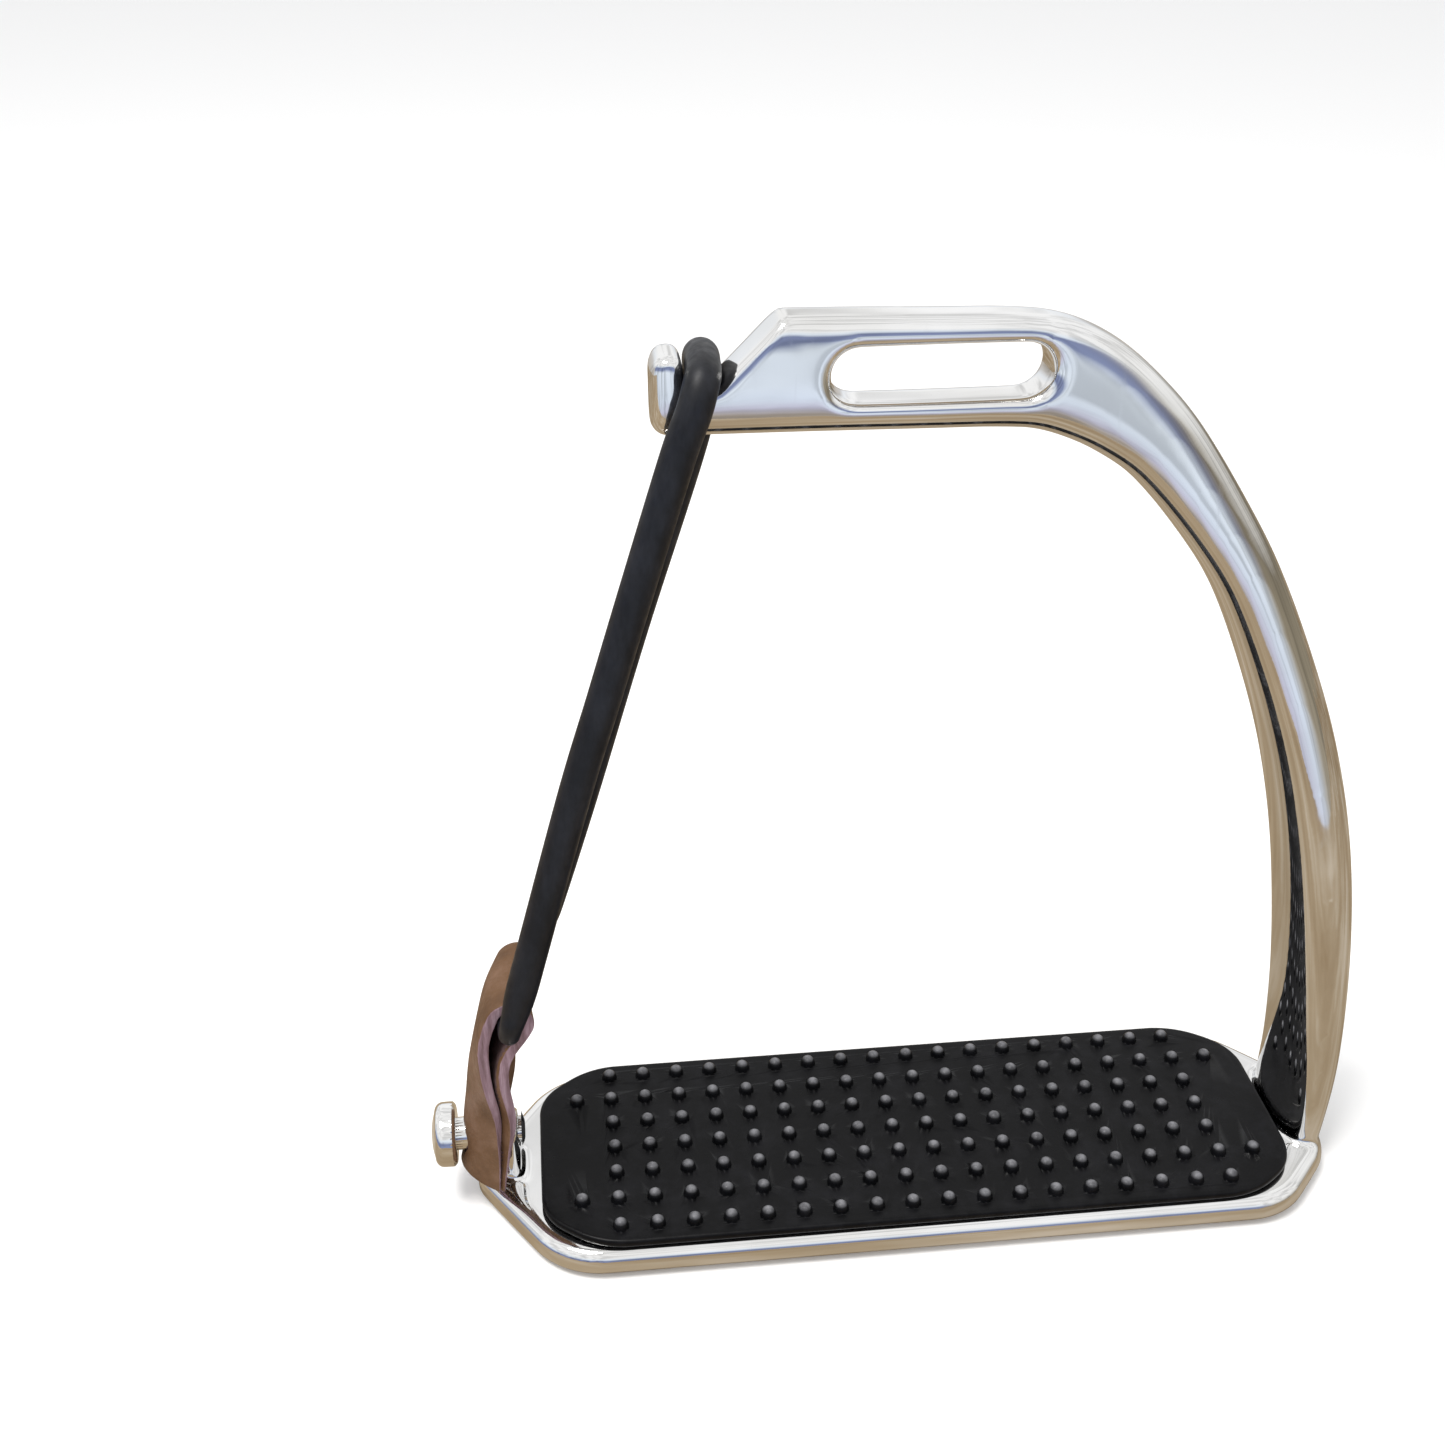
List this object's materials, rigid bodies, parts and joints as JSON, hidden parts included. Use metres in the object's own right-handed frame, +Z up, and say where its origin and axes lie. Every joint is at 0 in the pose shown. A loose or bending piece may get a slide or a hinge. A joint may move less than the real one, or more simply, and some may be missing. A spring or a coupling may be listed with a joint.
{
  "type": "safety stirrup iron",
  "caption": "Safety stirrup iron: open polished steel frame with a rubber tread, its open side closed by a quick-release rubber ring held by a leather tab.",
  "frame": {"origin": "under the middle of the sole, on the flat that the iron stands on", "axes": "+X along the sole from the stud and ring side to the branch side, +Y across the sole, +Z up to the bar"},
  "size_m": [0.1419, 0.0412, 0.1383],
  "materials": {
    "stirrup_frame": "mirror polished stainless steel casting",
    "tab_stud": "mirror polished stainless steel",
    "tread_pad": "black moulded rubber with a soft sheen",
    "leather_tab": "brown grain leather with raw mauve-brown cut edges",
    "rubber_ring": "black stretched rubber cord, slightly grey with bloom"
  },
  "bodies": {
    "frame": {"stirrup_frame": "stirrup_frame", "tab_stud": "tab_stud", "tread_pad": "tread_pad"},
    "tab": {"leather_tab": "leather_tab"},
    "ring": {"rubber_ring": "rubber_ring"}
  },
  "joints": [
    {"name": "tab_swivel", "type": "hinge", "parent": "frame", "child": "tab", "pos_m": [-0.0677, 0, 0.012], "axis": [1, 0, 0], "range_deg": [-10, 10]},
    {"name": "ring_swing", "type": "hinge", "parent": "tab", "child": "ring", "pos_m": [-0.0614, 0, 0.0385], "axis": [-0.1064, -0.9943, 0], "range_deg": [0, 135], "deforming": ["rubber_ring"]}
  ]
}
